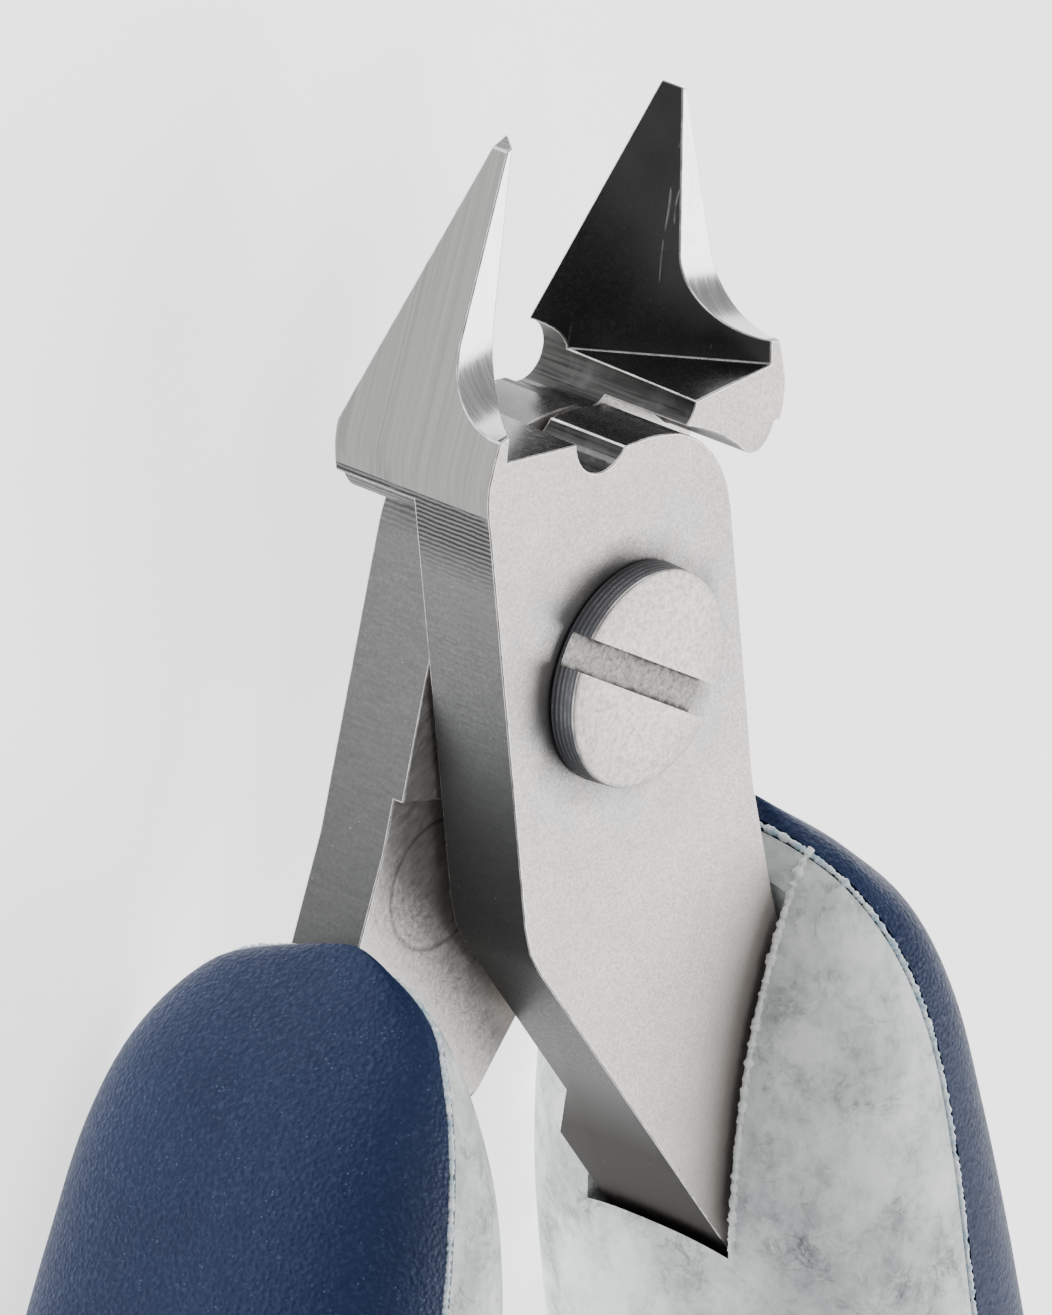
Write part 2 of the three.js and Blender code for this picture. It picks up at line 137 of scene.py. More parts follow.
WIRE_RADIUS = 0.55
COIL_RADIUS = 3.0
COIL_TURNS = 1.75
COIL_PITCH = 1.25
ARM_LENGTH = 21.5
ARM_HEIGHT = 0.7
EYE_RADIUS = 1.7
EYE_ARC = radians(260)
EYE_STEPS = 48
RUN_STEPS = 24
COIL_STEPS = 140
SPRING_SEAT = (7.9, -50)
PIN_RADIUS = 0.85
POCKET_RADIUS = 2.6
POCKET_HALF_HEIGHT = 1.7
SWING_REACH = 16
SWING_EASE = 1.2

SCREW_RADIUS = 3.4
SCREW_TOP = 7.0
SCREW_UNDER = 6.05
SCREW_SIDES = 144
SCREW_EDGE = ((0.05, 0.1), (0.09, 0.03), (0.17, 0))  # how far in and down the worn rim runs
SHANK_RADIUS = 1.9
SLOT_WIDTH = 1.04
SLOT_DEPTH = 0.75
SLOT_ANGLE = radians(-28)


# ---- Procedural finishes ----

class Finish:
    """A material whose patterns lie in the object's own space, sized in millimetres."""

    def __init__(self, name, **sockets):
        self.material = bpy.data.materials.new(name)
        self.material.use_nodes = True
        self.tree = self.material.node_tree
        self.shader = self.tree.nodes["Principled BSDF"]
        for socket, value in sockets.items():
            self.shader.inputs[socket.replace("_", " ")].default_value = value
        self.place = self.node("ShaderNodeTexCoord").outputs["Object"]
        self.height = None

    def node(self, kind, **settings):
        made = self.tree.nodes.new(kind)
        for key, value in settings.items():
            setattr(made, key, value)
        return made

    def link(self, source, target):
        self.tree.links.new(source, target)

    def stretched(self, size, turn=0.0, centre=(0, 0, 0)):
        """Object space measured in features of this size, turned about Z."""
        mapping = self.node("ShaderNodeMapping", vector_type="TEXTURE")
        mapping.inputs["Location"].default_value = [c * MM for c in centre]
        mapping.inputs["Rotation"].default_value = (0, 0, turn)
        mapping.inputs["Scale"].default_value = [s * MM for s in size]
        self.link(self.place, mapping.inputs["Vector"])
        return mapping.outputs["Vector"]

    def noise(self, size, detail=3.0, turn=0.0, twist=0.0, rough=0.55):
        size = (size,) * 3 if isinstance(size, (int, float)) else size
        made = self.node("ShaderNodeTexNoise")
        made.inputs["Scale"].default_value = 1.0
        made.inputs["Detail"].default_value = detail
        made.inputs["Roughness"].default_value = rough
        made.inputs["Distortion"].default_value = twist
        self.link(self.stretched(size, turn), made.inputs["Vector"])
        return made.outputs["Fac"]

    def threads(self, size, width, detail=4.0, twist=0.0, rough=0.55):
        """Thin winding lines, as wide as this share of the pattern's range."""
        offset = self.math("SUBTRACT", self.noise(size, detail, twist=twist, rough=rough), 0.5)
        return self.span(self.math("ABSOLUTE", offset, 0.0), 0.0, width, 1, 0)

    def cells(self, size):
        made = self.node("ShaderNodeTexVoronoi")
        made.inputs["Scale"].default_value = 1.0
        self.link(self.stretched((size,) * 3), made.inputs["Vector"])
        return made.outputs["Distance"]

    def waves(self, period, direction="X", rings=False, turn=0.0, centre=(0, 0, 0), waver=0.0):
        """Lines one period apart, across a direction or in rings about Z."""
        made = self.node("ShaderNodeTexWave", wave_type="RINGS" if rings else "BANDS")
        setattr(made, "rings_direction" if rings else "bands_direction", direction)
        made.inputs["Scale"].default_value = pi / 10
        made.inputs["Distortion"].default_value = waver
        made.inputs["Detail"].default_value = 2.0
        self.link(self.stretched((period,) * 3, turn, centre), made.inputs["Vector"])
        return made.outputs["Fac"]

    def distance(self, centre=(0, 0)):
        """Distance from a point in the plane of the tool, in millimetres."""
        flat = self.node("ShaderNodeVectorMath", operation="MULTIPLY")
        flat.inputs[1].default_value = (1, 1, 0)
        self.link(self.stretched((1, 1, 1), 0.0, (*centre, 0)), flat.inputs[0])
        length = self.node("ShaderNodeVectorMath", operation="LENGTH")
        self.link(flat.outputs["Vector"], length.inputs[0])
        return length.outputs["Value"]

    def along(self, axis, turn=0.0):
        """Position along an axis turned about Z, in millimetres."""
        split = self.node("ShaderNodeSeparateXYZ")
        self.link(self.stretched((1, 1, 1), turn), split.inputs[0])
        return split.outputs[axis]

    def span(self, value, low, high, to_low=0.0, to_high=1.0):
        made = self.node("ShaderNodeMapRange", clamp=True)
        for socket, number in zip(("From Min", "From Max", "To Min", "To Max"),
                                  (low, high, to_low, to_high)):
            made.inputs[socket].default_value = number
        self.link(value, made.inputs["Value"])
        return made.outputs["Result"]

    def math(self, operation, a, b):
        made = self.node("ShaderNodeMath", operation=operation)
        for socket, value in zip(made.inputs, (a, b)):
            if isinstance(value, (int, float)):
                socket.default_value = value
            else:
                self.link(value, socket)
        return made.outputs[0]

    def mix(self, amount, first, second):
        made = self.node("ShaderNodeMix", data_type="RGBA")
        self.link(amount, made.inputs["Factor"])
        colours = [s for s in made.inputs if s.type == "RGBA"]
        for socket, value in zip(colours, (first, second)):
            if isinstance(value, tuple):
                socket.default_value = (*value, 1)
            else:
                self.link(value, socket)
        return next(s for s in made.outputs if s.type == "RGBA")

    def colour(self, value):
        self.link(value, self.shader.inputs["Base Color"])

    def roughness(self, value):
        self.link(value, self.shader.inputs["Roughness"])

    def bump(self, height, depth, strength=1.0):
        """Adds relief of this depth, in millimetres, on top of any already there."""
        made = self.node("ShaderNodeBump")
        made.inputs["Strength"].default_value = strength
        made.inputs["Distance"].default_value = depth * MM
        self.link(height, made.inputs["Height"])
        if self.height is not None:
            self.link(self.height, made.inputs["Normal"])
        self.height = made.outputs["Normal"]
        self.link(self.height, self.shader.inputs["Normal"])


def blasted_steel():
    """Bead-blasted front and back faces, stained in a ring round the screw, with a darker ring close round
    the head that is part dirt and part painted shade.
    """
    f = Finish("blasted_steel", Metallic=0.75)
    warm, pale = (0.435, 0.400, 0.375), (0.495, 0.456, 0.430)
    pit, stain, dirt_and_shade, speck = (0.30, 0.28, 0.265), (0.37, 0.385, 0.40), (0.11,) * 3, (0.12, 0.11, 0.10)
    grain = f.noise(0.09, 2)
    cloud = f.noise((3, 3, 3), 3)
    body = f.mix(f.span(cloud, 0.3, 0.7), warm, pale)
    body = f.mix(f.span(grain, 0.35, 0.65, 0, 0.18), body, pit)
    ragged = f.math("ADD", f.distance(), f.span(f.noise(1.3, 6), 0.2, 0.8, -0.5, 0.5))
    haze = f.math("MULTIPLY", f.span(ragged, 4.4, 6.4, 0.75, 0), f.span(f.noise(1.8, 3), 0.36, 0.60))
    body = f.mix(haze, body, stain)
    # darker ring close round the screw's head: part dirt, part painted shade where the head meets the plate
    body = f.mix(f.span(ragged, 3.3, 4.5, 0.8, 0), body, dirt_and_shade)
    specks = f.span(f.noise(0.14, 1), 0.77, 0.81)
    f.colour(f.mix(f.math("MULTIPLY", specks, 0.6), body, speck))
    f.roughness(f.span(grain, 0.3, 0.7, 0.40, 0.56))
    f.bump(f.noise(0.10, 3), 0.02, 0.42)
    return f.material


def ground_steel(side):
    """Side walls: faint lines, a hatched patch at the heel, and darker and duller down the tang."""
    f = Finish(f"ground_steel_{side}", Metallic=0.9)
    grey, pale, pit = (0.128, 0.131, 0.130), (0.160, 0.162, 0.160), (0.070, 0.071, 0.071)
    groove, shaded, brown = (0.012,) * 3, (0.040, 0.040, 0.041), (0.034, 0.029, 0.026)
    cross = f.noise((0.5, 0.11, 0.9), 3, side * HALF_OPEN)
    sand = f.noise(0.11, 3)
    hatch = f.waves(0.16, "Y", turn=side * HALF_OPEN, waver=1.8)
    heel = f.math("MULTIPLY", f.span(f.along("Y"), 3.8, 5.2), f.span(f.noise(1.7), 0.32, 0.46))
    body = f.mix(f.span(cross, 0.3, 0.7), grey, pale)
    body = f.mix(f.span(sand, 0.3, 0.7, 0, 0.3), body, pit)
    body = f.mix(f.math("MULTIPLY", f.span(hatch, 0.3, 0.7, 0, 0.9), heel), body, groove)
    lower = f.span(f.along("Y"), -10, 4, 0.72, 0)
    body = f.mix(lower, body, shaded)
    tang = f.span(f.along("Y"), -17, -8, 0.7, 0)
    body = f.mix(tang, body, brown)
    specks = f.span(f.noise(0.12, 1), 0.78, 0.83, 0, 0.5)
    f.colour(f.mix(specks, body, (0.45, 0.45, 0.44)))
    f.roughness(f.math("MAXIMUM", f.span(sand, 0.3, 0.7, 0.36, 0.52), tang))
    f.bump(cross, 0.006, 0.25)
    f.bump(sand, 0.014, 0.3)
    return f.material


def long_ground_steel(side):
    """Outer faces of the jaws, ground along their length."""
    f = Finish(f"long_ground_steel_{side}", Metallic=0.9)
    turn = JAW_GRIND_TURN + HALF_OPEN
    if side < 0:
        turn = pi - turn
    lines = f.noise((14, 0.5, 0.085), 3, turn)
    broad = f.noise((22, 1.2, 0.9), 2, turn)
    body = f.mix(f.span(lines, 0.34, 0.66), (0.160, 0.160, 0.157), (0.250, 0.248, 0.242))
    body = f.mix(f.span(broad, 0.35, 0.65, 0, 0.45), body, (0.26, 0.257, 0.250))
    f.colour(body)
    f.roughness(f.span(lines, 0.3, 0.7, 0.3, 0.46))
    f.bump(lines, 0.007, 0.35)
    return f.material


def mirror_steel():
    """Polished bevel and cavity floor: coloured nearly black, a painted dark reflection on what is bright
    polished steel, with stray hairline scratches and dust.
    """
    f = Finish("mirror_steel", Metallic=0.95)
    scratch = f.math("MULTIPLY", f.threads((0.7, 9, 9), 0.005, 1), f.span(f.noise(0.9, 1), 0.57, 0.66))
    dust = f.span(f.noise(0.09, 1), 0.74, 0.79, 0, 0.6)
    cloud = f.span(f.noise(4, 2), 0.35, 0.7)
    # near-black colour: painted dark reflection, the bright steel coloured as it looks when it mirrors dark
    # surroundings
    body = f.mix(cloud, (0.085, 0.083, 0.085), (0.140, 0.136, 0.138))
    body = f.mix(f.math("MULTIPLY", scratch, 0.7), body, (0.75, 0.74, 0.72))
    f.colour(f.mix(dust, body, (0.12, 0.12, 0.12)))
    f.roughness(f.span(f.noise(0.2, 3), 0.3, 0.7, 0.22, 0.30))
    return f.material


def polished_steel():
    """Bright scoops, with the faint brushing of the wheel that cut them."""
    f = Finish("polished_steel", Metallic=1.0)
    brush = f.noise((0.08, 2.5, 2.5), 3)
    patch = f.noise((2.2, 1.1, 1.1), 2)
    body = f.mix(f.span(brush, 0.3, 0.7), (0.58, 0.57, 0.56), (0.74, 0.735, 0.73))
    f.colour(f.mix(f.span(patch, 0.60, 0.74, 0, 0.5), body, (0.42, 0.42, 0.42)))
    f.roughness(f.span(brush, 0.3, 0.7, 0.2, 0.34))
    f.bump(brush, 0.006, 0.4)
    return f.material


def machined_steel(name, tint):
    """Throat, lap walls and tip facet, with streaks that run through the thickness."""
    f = Finish(name, Metallic=0.9)
    streak = f.noise((0.09, 0.12, 3.5), 3)
    body = f.mix(f.span(streak, 0.34, 0.66), (tint * 0.45,) * 3, (tint * 1.6, tint * 1.58, tint * 1.54))
    f.colour(f.mix(f.span(f.noise(0.9, 2), 0.5, 0.75, 0, 0.5), body, (tint * 2.4,) * 3))
    f.roughness(f.span(streak, 0.3, 0.7, 0.40, 0.56))
    f.bump(streak, 0.012, 0.4)
    return f.material


def milled_steel():
    """Lap faces: bright and grainy, with the round mark of the cutter that cleared them."""
    f = Finish("milled_steel", Metallic=0.8)
    centre = (-3.77, -6.9)
    rings = f.waves(0.24, "Z", rings=True, centre=(*centre, 0), waver=2.2)
    disc = f.span(f.distance(centre), 2.05, 2.15, 1, 0)
    rim = f.math("MULTIPLY", f.span(f.distance(centre), 1.92, 2.06), disc)
    hammered = f.noise((0.5, 0.22, 0.5), 3, 0.5)
    body = f.mix(f.span(hammered, 0.32, 0.68), (0.36, 0.347, 0.335), (0.50, 0.485, 0.47))
    f.colour(f.mix(f.math("MULTIPLY", rim, 0.8), body, (0.16, 0.155, 0.15)))
    f.roughness(f.span(hammered, 0.3, 0.7, 0.36, 0.5))
    f.bump(f.math("MULTIPLY", rings, disc), 0.010, 0.15)
    f.bump(f.noise(0.16, 4), 0.03, 0.45)
    f.bump(hammered, 0.05, 0.55)
    return f.material


def edge_steel():
    """Chamfers along the edges, worn bright."""
    f = Finish("edge_steel", Metallic=1.0)
    f.colour(f.mix(f.span(f.noise(0.5, 2), 0.3, 0.7), (0.34, 0.33, 0.32), (0.74, 0.73, 0.72)))
    f.roughness(f.span(f.noise(0.2, 2), 0.3, 0.7, 0.24, 0.38))
    return f.material


def turned_steel(name, tint, period, direction, rings, depth):
    """Screw faces, with the lathe's lines."""
    f = Finish(name, Metallic=0.85)
    lines = f.waves(period, direction, rings=rings, waver=0.5)
    grain = f.noise(0.15, 3)
    body = f.mix(f.span(lines, 0.1, 0.9), tuple(c * (1 - depth) for c in tint), tint)
    f.colour(f.mix(f.span(grain, 0.40, 0.70, 0, 0.4), body, tuple(c * 0.55 for c in tint)))
    f.roughness(f.span(grain, 0.3, 0.7, 0.36, 0.52))
    f.bump(lines, 0.02, depth)
    f.bump(grain, 0.012, 0.3)
    return f.material


def slot_steel():
    """Floor of the screw's slot, mottled, darkened in its corners by grime and painted shade."""
    f = Finish("slot_steel", Metallic=0.6)
    body = f.mix(f.span(f.noise(0.12, 4), 0.50, 0.68), (0.28, 0.268, 0.26), (0.13, 0.125, 0.12))
    # dark lines along the slot's edges: part grime, part painted shade in the corners under the slot's
    # walls
    off_centre = f.math("ABSOLUTE", f.along("Y", SLOT_ANGLE), 0.0)
    grime_and_shade = f.math("ADD", off_centre, f.span(f.noise(0.5, 4), 0.3, 0.7, -0.06, 0.06))
    f.colour(f.mix(f.span(grime_and_shade, 0.40, 0.50, 0, 0.9), body, (0.035, 0.03, 0.03)))
    f.roughness(f.span(f.noise(0.2, 2), 0.3, 0.7, 0.45, 0.65))
    f.bump(f.noise(0.14, 3), 0.02, 0.4)
    return f.material


def wire_steel():
    """Drawn spring wire and ground pins."""
    f = Finish("wire_steel", Metallic=1.0)
    f.colour(f.mix(f.span(f.noise((0.1, 2, 0.1), 3), 0.3, 0.7), (0.40, 0.40, 0.40), (0.62, 0.62, 0.61)))
    f.roughness(f.span(f.noise(0.2, 2), 0.3, 0.7, 0.22, 0.36))
    f.bump(f.noise((0.08, 1.5, 0.08), 2), 0.006, 0.4)
    return f.material


def navy_rubber():
    """Soft grip: cloudy navy with a fine leathery grain, its crests painted lighter as a painted highlight,
    and painted glints in tiny points.
    """
    f = Finish("navy_rubber", Specular_IOR_Level=0.15)
    deep, navy = (0.0072, 0.0165, 0.052), (0.0118, 0.0235, 0.068)
    # the last two colours are painted light: a highlight for the grain's crests and tiny glints
    crest_highlight, painted_glint = (0.030, 0.048, 0.110), (0.20, 0.27, 0.44)
    grain = f.noise(0.16, 3, twist=0.4)
    pebble = f.cells(0.16)
    cloud = f.noise(5, 3)
    body = f.mix(f.span(cloud, 0.3, 0.7), deep, navy)
    # grain crests painted lighter: a painted highlight on the tops of the grain
    body = f.mix(f.span(grain, 0.50, 0.70, 0, 0.5), body, crest_highlight)
    # tiny light points: painted glints
    glint_spots = f.math("MULTIPLY", f.span(f.cells(0.19), 0.20, 0.08), f.span(f.noise(0.8, 2), 0.50, 0.62))
    f.colour(f.mix(f.math("MULTIPLY", glint_spots, 0.35), body, painted_glint))
    f.roughness(f.span(grain, 0.3, 0.7, 0.58, 0.40))
    f.bump(pebble, 0.07, 0.5)
    f.bump(grain, 0.07, 0.5)
    return f.material


def veined_plastic():
    """Hard core: light grey, clouded, with thin dark fibres where it is darkest."""
    f = Finish("veined_plastic", Specular_IOR_Level=0.45)
    grey, pale = (0.24, 0.28, 0.29), (0.86, 0.885, 0.88)
    chalk, ink = (0.86, 0.88, 0.87), (0.06, 0.06, 0.065)
    cloud = f.noise((3.0, 4.4, 3.6), 9, rough=0.68)
    fuzz = f.noise(0.35, 6, rough=0.7)
    body = f.mix(f.span(cloud, 0.34, 0.62), grey, pale)
    body = f.mix(f.span(fuzz, 0.36, 0.66, 0, 0.40), body, chalk)
    shade = f.span(cloud, 0.60, 0.40, 0.15, 1)
    fibre_patches = f.span(f.noise(1.6, 4), 0.44, 0.60, 0, 0.7)
    fibre = f.math("MULTIPLY", f.threads(1.3, 0.045, 6, 0.9, 0.62), fibre_patches)
    hair_patches = f.span(f.noise(2.1, 4), 0.46, 0.62, 0, 0.5)
    hair = f.math("MULTIPLY", f.threads(0.6, 0.070, 5, 0.6, 0.62), hair_patches)
    veins = f.math("MULTIPLY", f.math("MAXIMUM", fibre, hair), shade)
    f.colour(f.mix(veins, body, ink))
    f.roughness(f.span(fuzz, 0.3, 0.7, 0.42, 0.58))
    f.bump(fuzz, 0.02, 0.3)
    return f.material


def flash_plastic(name, low, high):
    """Thin flash that squeezed out along a mould line."""
    f = Finish(name, Specular_IOR_Level=0.5)
    f.colour(f.mix(f.span(f.noise(0.35, 3), 0.35, 0.65), low, high))
    f.roughness(f.span(f.noise(0.3, 2), 0.3, 0.7, 0.4, 0.6))
    f.bump(f.noise(0.12, 3), 0.03, 0.5)
    return f.material


def pale_floor():
    f = Finish("pale_floor", Roughness=0.85, Emission_Color=(1, 1, 1, 1), Emission_Strength=1.6)
    f.colour(f.mix(f.span(f.noise(60, 2), 0.3, 0.7), (0.93, 0.93, 0.93), (0.95, 0.95, 0.95)))
    return f.material


BLASTED = blasted_steel()
MIRROR = mirror_steel()
POLISHED = polished_steel()
THROAT = machined_steel("machined_throat", 0.055)
TIP = machined_steel("ground_tip", 0.16)
MILLED = milled_steel()
EDGE = edge_steel()
SCREW_FACE = turned_steel("turned_face", (0.47, 0.437, 0.415), 0.13, "Z", True, 0.06)
SCREW_RIM = turned_steel("turned_rim", (0.17, 0.175, 0.19), 0.16, "Z", False, 0.4)
SLOT = slot_steel()
WIRE = wire_steel()
NAVY = navy_rubber()
VEINED = veined_plastic()
SEAM = flash_plastic("seam_flash", (0.34, 0.50, 0.62), (0.84, 0.89, 0.90))
LIP = flash_plastic("lip_flash", (0.66, 0.69, 0.69), (0.92, 0.93, 0.92))


# ---- Meshes ----

def new_piece(name, mesh, *materials):
    for material in materials:
        mesh.materials.append(material)
    piece = bpy.data.objects.new(name, mesh)
    bpy.context.scene.collection.objects.link(piece)
    return piece


def to_tool(side):
    """From a half's own closed position in millimetres to its place in the open tool."""
    return Matrix.Diagonal((side * MM, MM, MM, 1)) @ Matrix.Rotation(HALF_OPEN, 4, "Z")


def settle(mesh, side):
    """Puts a mesh in its place in the open tool, with its faces still pointing out."""
    mesh.transform(to_tool(side))
    if side < 0:
        mesh.flip_normals()
    mesh.update()


def smooth(mesh, sharp_degrees):
    mesh.polygons.foreach_set("use_smooth", [True] * len(mesh.polygons))
    mesh.set_sharp_from_angle(angle=radians(sharp_degrees))


def evaluated_mesh(piece):
    depsgraph = bpy.context.evaluated_depsgraph_get()
    depsgraph.update()
    return bpy.data.meshes.new_from_object(piece.evaluated_get(depsgraph))


def apply_modifiers(piece):
    old = piece.data
    new = evaluated_mesh(piece)
    piece.modifiers.clear()
    piece.data = new
    bpy.data.meshes.remove(old)


def prism(outline, low, high, trim=None):
    """Closed prism over an outline; trim=(point, normal) keeps what the normal points to."""
    bm = bmesh.new()
    base = [bm.verts.new((x, y, low)) for x, y in outline]
    top = [bm.verts.new((x, y, high)) for x, y in outline]
    count = len(base)
    bm.faces.new(base[::-1])
    bm.faces.new(top)
    for i in range(count):
        j = (i + 1) % count
        bm.faces.new((base[i], base[j], top[j], top[i]))
    bmesh.ops.recalc_face_normals(bm, faces=bm.faces)
    if trim:
        cut = bmesh.ops.bisect_plane(
            bm, geom=[*bm.verts, *bm.edges, *bm.faces], plane_co=trim[0], plane_no=trim[1],
            clear_inner=True)
        rim = [e for e in cut["geom_cut"] if isinstance(e, bmesh.types.BMEdge)]
        bmesh.ops.contextual_create(bm, geom=rim)
        bmesh.ops.recalc_face_normals(bm, faces=bm.faces)
    mesh = bpy.data.meshes.new("cutter")
    bm.to_mesh(mesh)
    bm.free()
    return mesh


def boolean(mesh, operation, cutters):
    """The mesh with each cutter mesh applied to it in turn."""
    piece = new_piece("work", mesh)
    for cutter in cutters:
        tool = new_piece("tool", cutter)
        modifier = piece.modifiers.new("cut", "BOOLEAN")
        modifier.operation = operation
        modifier.solver = "EXACT"
        modifier.object = tool
        apply_modifiers(piece)
        bpy.data.objects.remove(tool)
    result = piece.data
    bpy.data.objects.remove(piece)
    return result


def circle(radius, x, y, count):
    return [(x + radius * cos(2 * pi * i / count), y + radius * sin(2 * pi * i / count))
            for i in range(count)]


# ---- Steel halves ----

def steel_finish(normal, centre):
    """Which finish a face of a half has, by where it lies and faces in that half's own place."""
    x, y, z = centre
    from_pivot = (x * x + y * y) ** 0.5
    if max(normal.dot(BEVEL_NORMAL), normal.dot(CAVITY_NORMAL)) > SAME_DIRECTION:
        return "mirror"
    if y > SCOOP_START[0] and z > SCOOP_START[1] and abs(normal.x) < 0.2 and normal.z > 0.02:
        return "polished"
    if y > TIP_FACET_Y and normal.y > 0.6:
        return "tip"
    if normal.z > 0.95:
        return "blasted" if z > FRONT_FACE_Z else "milled"
    if normal.z < -0.85:
        return "blasted"
    if y > JAW_START[1] and x < JAW_START[0] and normal.x < -0.2:
        return "long_ground"
    in_pivot_hole = from_pivot < PIVOT_HOLE_REACH
    on_lap_wall = y > 0 and x > LAP_WALL_LEFT and LAP_WALL_REACH[0] < from_pivot < LAP_WALL_REACH[1]
    if abs(normal.z) < 0.4 and (in_pivot_hole or on_lap_wall):
        return "throat"
    return "ground"


def steel_half(node, name, body, side):
    """One forging, with its solid's shape, worn chamfers and a finish for each kind of face."""
    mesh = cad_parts[node].data.copy()
    mesh.materials.clear()
    bm = bmesh.new()
    bm.from_mesh(mesh)
    bmesh.ops.remove_doubles(bm, verts=bm.verts, dist=WELD)
    bmesh.ops.dissolve_limit(bm, angle_limit=FLAT_STEEL, verts=bm.verts, edges=bm.edges)
    finishes = {"blasted": BLASTED, "ground": ground_steel(side), "mirror": MIRROR,
                "long_ground": long_ground_steel(side), "polished": POLISHED, "tip": TIP,
                "throat": THROAT, "milled": MILLED, "edge": EDGE}
    order = list(finishes)
    back = to_tool(side).inverted()
    turn = back.to_3x3().normalized()
    for face in bm.faces:
        normal = (turn @ face.normal).normalized()
        face.material_index = order.index(steel_finish(normal, back @ face.calc_center_median()))
        face.smooth = True
    bm.to_mesh(mesh)
    bm.free()
    piece = new_piece(name, mesh, *finishes.values())
    mesh.set_sharp_from_angle(angle=SHARP_STEEL)
    bevel = piece.modifiers.new("chamfer", "BEVEL")
    bevel.width = CHAMFER * MM
    bevel.segments = 2
    bevel.limit_method = "ANGLE"
    bevel.angle_limit = SHARP_STEEL
    bevel.use_clamp_overlap = False
    bevel.harden_normals = True
    bevel.material = order.index("edge")
    apply_modifiers(piece)
    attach(piece, body)
    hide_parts(node)


# ---- Pivot screw ----

def pivot_screw():
    """Shank and slotted head, turned about Z."""
    lower_chamfer = 0.1
    profile = [(0, 0), (SHANK_RADIUS, 0), (SHANK_RADIUS, SCREW_UNDER),
               (SCREW_RADIUS - lower_chamfer, SCREW_UNDER), (SCREW_RADIUS, SCREW_UNDER + lower_chamfer),
               *((SCREW_RADIUS - inward, SCREW_TOP - down) for inward, down in SCREW_EDGE),
               (0, SCREW_TOP)]
    bm = bmesh.new()
    rings = []
    for radius, z in profile:
        if radius == 0:
            rings.append([bm.verts.new((0, 0, z))])
        else:
            rings.append([bm.verts.new((x, y, z)) for x, y in circle(radius, 0, 0, SCREW_SIDES)])
    for low, high in zip(rings, rings[1:]):
        for i in range(SCREW_SIDES):
            j = (i + 1) % SCREW_SIDES
            corners = [low[i % len(low)], low[j % len(low)], high[j % len(high)], high[i % len(high)]]
            bm.faces.new(list(dict.fromkeys(corners)))
    bmesh.ops.recalc_face_normals(bm, faces=bm.faces)
    mesh = bpy.data.meshes.new("screw")
    bm.to_mesh(mesh)
    bm.free()
    half, past_rim = SLOT_WIDTH / 2, 6
    outline = [(-past_rim, -half), (past_rim, -half), (past_rim, half), (-past_rim, half)]
    slot = prism(outline, SCREW_TOP - SLOT_DEPTH, SCREW_TOP + 2)
    slot.transform(Matrix.Rotation(SLOT_ANGLE, 4, "Z"))
    mesh = boolean(mesh, "DIFFERENCE", [slot])
    mesh.transform(Matrix.Scale(MM, 4))
    mesh.materials.clear()
    piece = new_piece("pivot_screw_turned", mesh, SCREW_FACE, SCREW_RIM, SLOT, EDGE)
    head_face, rim, slot_floor, worn_edge = range(4)
    for face in mesh.polygons:
        drop = SCREW_TOP - face.center.z / MM
        if face.normal.z > 0.9:
            face.material_index = head_face if drop < 0.1 else slot_floor
        else:
            face.material_index = worn_edge if drop < 0.09 and face.normal.z > 0.2 else rim
    smooth(mesh, 35)
    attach(piece, "rear")
    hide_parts("pivot_screw")


# ---- Handles ----

def station(y):
    """Inner side, outer side, front and back of the handle at each y."""
    rows = HANDLE_STATIONS
    y = np.atleast_1d(np.asarray(y, float))
    i = np.clip(np.searchsorted(-rows[:, 0], -y, side="right") - 1, 0, len(rows) - 2)
    def slope(k):
        a, b = rows[np.maximum(k - 1, 0)], rows[np.minimum(k + 1, len(rows) - 1)]
        return (b[:, 1:] - a[:, 1:]) / (b[:, :1] - a[:, :1])
    a, b = rows[i], rows[i + 1]
    width = b[:, :1] - a[:, :1]
    t = (y[:, None] - a[:, :1]) / width
    ease = t * t * (3 - 2 * t)
    rise = width * (t * (1 - t) ** 2 * slope(i) - t * t * (1 - t) * slope(i + 1))
    sides = a[:, 1:] + (b[:, 1:] - a[:, 1:]) * ease + rise
    # near each end the section shrinks about its own middle, which rounds the end
    near_end = np.maximum(1 - np.minimum(rows[0, 0] - y, y - rows[-1, 0]) / END_ROUNDING, 0)
    dome = np.sqrt(np.maximum(1 - near_end ** 2, END_LEFT))[:, None]
    middle = (sides[:, [0, 0, 2, 2]] + sides[:, [1, 1, 3, 3]]) / 2
    reach = (sides - middle) * dome
    return middle + reach - SKIN * np.sign(reach)


